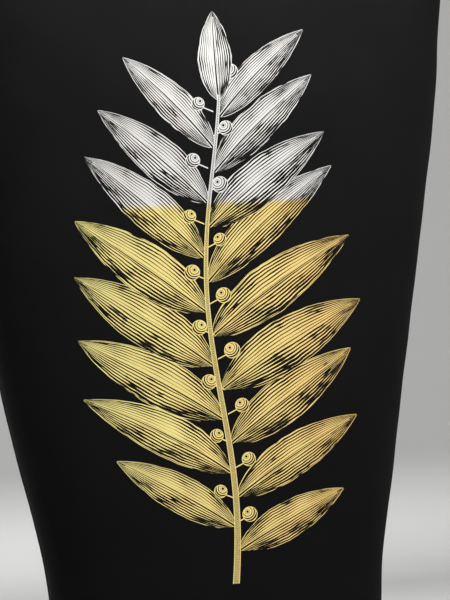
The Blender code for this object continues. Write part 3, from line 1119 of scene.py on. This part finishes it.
class OBJECT_OT_shirt_collar(bpy.types.Operator):
    """Make the ribbed collar and the tape in the back of the neck"""

    bl_idname = "object.shirt_collar"
    bl_label = "Collar and neck tape"

    def execute(self, context):
        sizes, colours, _, _ = settings()
        self.make_rib(sizes, colours.rib)
        self.make_tape(sizes, colours.tape)
        return {"FINISHED"}

    def make_rib(self, sizes, colour):
        """A closed rounded profile carried round the neck: real ribs, a bevelled fold at the top."""
        path, _ = neck_path()
        run = run_length(path)
        ribs = round(run[-1] / sizes.rib_pitch)
        count = ribs * 6
        at = np.linspace(0, run[-1], count + 1)
        points = read_along(at, run, path)
        rise, out = rib_frames(points)
        wide, thick, bevel = sizes.rib_width, sizes.rib_cloth, 0.0012
        up_side = np.linspace(-0.0015, wide - bevel, 13)
        fold = np.linspace(0, np.pi, 7)[1:-1]
        height = np.concatenate([up_side, wide - bevel + bevel * np.sin(fold), up_side[::-1]])
        level = np.concatenate([np.zeros(13), -(1 - np.cos(fold)) / 2 * thick, np.full(13, -thick)])
        faces_out = np.concatenate([np.ones(13), np.cos(fold), -np.ones(13)])
        tuck = 0.0010 * (1 - smooth_step(height, 0.0, 0.0022)) * (faces_out > 0)
        wave = np.cos(2 * np.pi * ribs * np.arange(count + 1) / count)[:, None]
        by_fold = smooth_step(height, wide - 0.002, wide)
        strength = smooth_step(height, 0.0005, 0.0035) * (1 - 0.35 * by_fold)
        relief = 0.00022 * wave * strength * faces_out
        swell = 0.0004 * np.sin(np.pi * np.clip(height / wide, 0, 1)) * (faces_out > 0)
        uneven = 0.0005 * drift(points, 0.05, 31)[:, None] * np.clip(height / wide, 0, 1)
        offset = level - tuck + swell + relief + uneven + 0.0003
        grid = points[:, None] + rise[:, None] * height[None, :, None] + out[:, None] * offset[..., None]
        cloth = spread(at[:, None], run_length(grid[0])[None])
        grid = np.concatenate([grid, grid[:, :1]], axis=1).transpose(1, 0, 2)
        cloth = np.concatenate([cloth, cloth[:, -1:]], axis=1).transpose(1, 0, 2)
        mesh = grid_mesh("neck_rib_knit", grid, cloth, closed=True)
        close_and_turn_out(mesh)
        rib = knit_material("rib_knit_cloth", colour, RIB_KNIT)
        piece = add_piece("neck_rib_knit", mesh, (rib,), "neck_rib")

    def make_tape(self, sizes, colour):
        """A flat rounded profile carried along the inside of the back neck."""
        points, normals, _ = sewn_body(sizes)[1]
        rim, inner = points[-1], points[-2]
        keep = (rim[:, 1] > 0.017) & (np.abs(rim[:, 0]) < NECK_HALF - 0.001)
        rim, normal = rim[keep], normals[-1][keep]
        down = unit(inner[keep] - rim)
        (rim, normal, down), at = resample(rim, 0.0009, normal, down)
        normal, down = unit(normal), unit(down)
        turn = np.linspace(0, 2 * np.pi, 29)
        corner = np.abs(np.cos(turn)) ** 0.25 * np.sign(np.cos(turn))
        flat = np.sign(np.sin(turn)) * np.abs(np.sin(turn)) ** 0.8
        drop = sizes.tape_width / 2 * (1 + corner) + 0.0012
        level = 0.00045 * flat - sizes.cloth - 0.0009
        wave = 0.00008 * np.sin(2 * np.pi * at / 0.0018)[:, None] * np.abs(corner)[None, :]
        grid = rim[:, None] + down[:, None] * drop[None, :, None]
        grid = grid + normal[:, None] * (level[None, :, None] + wave[..., None])
        mesh = grid_mesh("back_neck_tape_weave", grid, spread(at[:, None], drop[None]), closed=True)
        close_and_turn_out(mesh)
        tape = tape_material(colour)
        piece = add_piece("back_neck_tape_weave", mesh, (tape,), "back_neck_tape")


def close_and_turn_out(mesh):
    """Merges doubled points, fills open ends and turns every face outwards."""
    bm = bmesh.new()
    bm.from_mesh(mesh)
    bmesh.ops.remove_doubles(bm, verts=bm.verts, dist=1e-6)
    bmesh.ops.holes_fill(bm, edges=bm.edges, sides=0)
    bmesh.ops.recalc_face_normals(bm, faces=bm.faces)
    bm.to_mesh(mesh)
    bm.free()


def row_at(surface, distance, columns=slice(None), from_top=False):
    """A path across a grid with its normals, at a distance from the first or last row."""
    points, normals = (grid[:: -1 if from_top else 1, columns] for grid in surface[:2])
    run = run_length(points, axis=0)
    place = np.clip((run < distance).sum(0) - 1, 0, len(run) - 2)
    column = np.arange(run.shape[1])
    span = run[place + 1, column] - run[place, column]
    t = ((distance - run[place, column]) / span)[:, None]
    path = points[place, column] * (1 - t) + points[place + 1, column] * t
    return path, normals[place, column]


class OBJECT_OT_shirt_stitching(bpy.types.Operator):
    """Make the rows of stitches at the hem, cuffs, collar and shoulders"""

    bl_idname = "object.shirt_stitching"
    bl_label = "Stitching"

    def execute(self, context):
        sizes, colours, _, _ = settings()
        thread = thread_material(colours.thread)
        body = sewn_body(sizes)
        sleeves = [shaped_sleeve(side, sizes, body) for side in (1, -1)]
        turns, hem = panel_turns(), needle_rows(sizes)
        neck = np.abs(turns) < NECK_ENDS
        shoulders = turns > SHOULDER_STARTS, turns < -SHOULDER_STARTS
        rows = {
            "hem_stitching": [row_at(panel, d) for panel in body for d in hem],
            "collar_stitching": [
                row_at(panel, d, neck, True) for panel in body for d in COLLAR_NEEDLES
            ],
            "shoulder_stitching": [
                row_at(body[1], d, seam, True) for seam in shoulders for d in SHOULDER_NEEDLES
            ],
            "cuff_stitching": [row_at(sleeve, d, from_top=True) for sleeve in sleeves for d in hem],
        }
        for name, paths in rows.items():
            add_piece(name, stitch_mesh(name, paths, sizes), (thread,))
        return {"FINISHED"}


def looking(place, aim):
    """The turn of a light that stands at a place and points at its aim."""
    return (Vector(aim) - Vector(place)).to_track_quat("-Z", "Y")


class OBJECT_OT_shirt_studio(bpy.types.Operator):
    """Make the floor and backdrop, the lights and the camera"""

    bl_idname = "object.shirt_studio"
    bl_label = "Studio"

    def execute(self, context):
        _, colours, _, studio = settings()
        self.make_floor(studio, colours.floor)
        self.make_lights(studio)
        self.make_camera(studio)
        return {"FINISHED"}

    def make_floor(self, studio, colour):
        """A round cove: flat to 9 m, a quarter circle of 3 m, and a wall up to 10 m."""
        bend = np.linspace(0, np.pi / 2, 17)
        radius = np.concatenate([[0.02, 1.0, 3.0, 6.0], 9 + 3 * np.sin(bend), [12.0, 12.0]])
        height = np.concatenate([[0.0] * 4, 3 * (1 - np.cos(bend)), [6.0, 10.0]])
        turn = np.linspace(0, 2 * np.pi, 97)
        x, y = radius[:, None] * np.cos(turn), radius[:, None] * np.sin(turn)
        points = spread(x, y, height[:, None] + studio.floor_height)
        mesh = grid_mesh("studio_floor", points, points[..., :2], closed=True)
        mesh.materials.append(floor_material(colour))
        floor = place_object("studio_floor", mesh)

    def make_lights(self, studio):
        """A soft key high in front, a weak fill at the right, one light behind and one for the wall."""
        for name, place, aim, size, beam, power in (
            ("key_light", (0.30, -1.20, 0.80), (-0.08, 0, 0.00), 0.7, 110, studio.key),
            ("fill_light", (2.2, -1.8, 0.6), (0, 0, -0.35), 1.2, 180, studio.fill),
            ("back_light", (-0.2, 2.6, 1.1), (0, 0, -0.35), 2.2, 180, studio.back),
            ("wall_light", (0, 4.5, 2.5), (0, 11, -0.5), 3.0, 180, studio.wall),
        ):
            light = bpy.data.lights.new(name, "AREA")
            light.shape = "DISK"
            light.size = size
            light.spread = math.radians(beam)
            light.energy = power
            lamp = place_object(name, light)
            lamp.location = place
            lamp.rotation_euler = looking(place, aim).to_euler()
            lamp.visible_camera = False
        world = bpy.data.worlds.new("studio_world")
        world.use_nodes = True
        background = world.node_tree.nodes["Background"]
        background.inputs["Color"].default_value = (0.90, 0.90, 0.90, 1)
        background.inputs["Strength"].default_value = studio.sky
        bpy.context.scene.world = world
        bpy.context.scene.view_settings.view_transform = "Standard"

    def make_camera(self, studio):
        """The camera stands at the azimuth, level with its aim, and leans by the roll."""
        back = Vector((math.sin(studio.azimuth), -math.cos(studio.azimuth), 0))
        side = Vector((math.cos(studio.azimuth), math.sin(studio.azimuth), 0))
        up = Vector((0, 0, 1))
        right = math.cos(studio.roll) * side - math.sin(studio.roll) * up
        above = math.cos(studio.roll) * up + math.sin(studio.roll) * side
        aim = Vector((0, 0, AIM_HEIGHT)) + AIM_ASIDE * right
        data = bpy.data.cameras.new("main_camera")
        data.sensor_fit = "VERTICAL"
        data.sensor_height = 24.0
        data.lens = 24.0 * studio.distance / studio.picture_height
        data.clip_end = 100
        camera = place_object("main_camera", data)
        place = aim + back * studio.distance
        turn = Matrix((right, above, back)).transposed().to_4x4()
        camera.matrix_world = Matrix.Translation(place) @ turn
        bpy.context.scene.camera = camera


class VIEW3D_PT_shirt(bpy.types.Panel):
    """Lists the pieces of the shirt."""

    bl_idname = "VIEW3D_PT_shirt"
    bl_label = "T-shirt"
    bl_space_type = "VIEW_3D"
    bl_region_type = "UI"
    bl_category = "T-shirt"

    def draw(self, context):
        for operator in OPERATORS:
            self.layout.operator(operator.bl_idname)


OPERATORS = (
    OBJECT_OT_shirt_body,
    OBJECT_OT_shirt_sleeves,
    OBJECT_OT_shirt_collar,
    OBJECT_OT_shirt_stitching,
    OBJECT_OT_shirt_studio,
)
GROUPS = {
    "shirt_sizes": ShirtSizes,
    "shirt_colours": ShirtColours,
    "shirt_print": PrintSizes,
    "shirt_studio": StudioSizes,
}


def register():
    for cls in (*GROUPS.values(), *OPERATORS, VIEW3D_PT_shirt):
        bpy.utils.register_class(cls)
    for name, group in GROUPS.items():
        setattr(bpy.types.Scene, name, PointerProperty(type=group))


def unregister():
    for name in GROUPS:
        delattr(bpy.types.Scene, name)
    for cls in (*GROUPS.values(), *OPERATORS, VIEW3D_PT_shirt):
        bpy.utils.unregister_class(cls)


def main():
    register()
    bpy.ops.object.shirt_body()
    bpy.ops.object.shirt_sleeves()
    bpy.ops.object.shirt_collar()
    bpy.ops.object.shirt_stitching()
    bpy.ops.object.shirt_studio()


if __name__ == "__main__":
    main()
